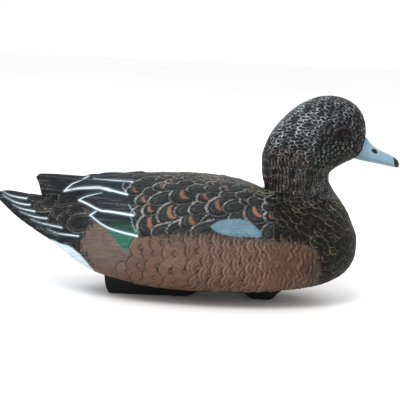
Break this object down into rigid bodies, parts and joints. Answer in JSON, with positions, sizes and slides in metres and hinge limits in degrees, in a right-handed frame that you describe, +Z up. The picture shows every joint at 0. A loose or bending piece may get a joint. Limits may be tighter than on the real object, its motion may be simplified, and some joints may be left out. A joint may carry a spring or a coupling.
{
  "type": "floating duck decoy",
  "caption": "Hollow floating duck decoy with feathered wings and tail, a head that turns on a neck socket, and a screwed-on, ballasted keel.",
  "frame": {"origin": "under the middle of the bounding box, on the ground the keel stands on", "axes": "+X along the duck towards the bill, +Y to the duck's left, +Z up"},
  "size_m": [0.4, 0.158, 0.206],
  "materials": {
    "body_plastic": "matt hand-painted moulded plastic",
    "belly_plastic": "matt painted moulded plastic",
    "head_plastic": "matt hand-painted moulded plastic",
    "eye_plastic": "glossy",
    "hub_plastic": "moulded, bare",
    "seal_rubber": "matt",
    "insert_brass": "machined",
    "steel": "stainless, satin",
    "black_steel": "black coated",
    "keel_plastic": "black, satin",
    "ballast_iron": "rough cast"
  },
  "bodies": {
    "hull": {"body_shell": "body_plastic", "belly_plate": "belly_plastic", "flat_washer": "steel", "wave_washer": "steel", "keel": "keel_plastic", "rear_ballast": "ballast_iron", "front_ballast": "ballast_iron", "keel_screw_1": "black_steel", "keel_screw_2": "black_steel", "keel_screw_3": "black_steel", "keel_screw_4": "black_steel"},
    "head": {"head_shell": "head_plastic", "eye_right": "eye_plastic", "eye_left": "eye_plastic", "neck_hub": "hub_plastic", "neck_seal_ring": "seal_rubber", "threaded_insert": "insert_brass", "head_bolt": "steel"}
  },
  "joints": [
    {"name": "head_swivel", "type": "hinge", "parent": "hull", "child": "head", "pos_m": [0.103, 0, 0.1077], "axis": [0.0941, 0, 0.9956], "range_deg": [-90, 90]}
  ]
}
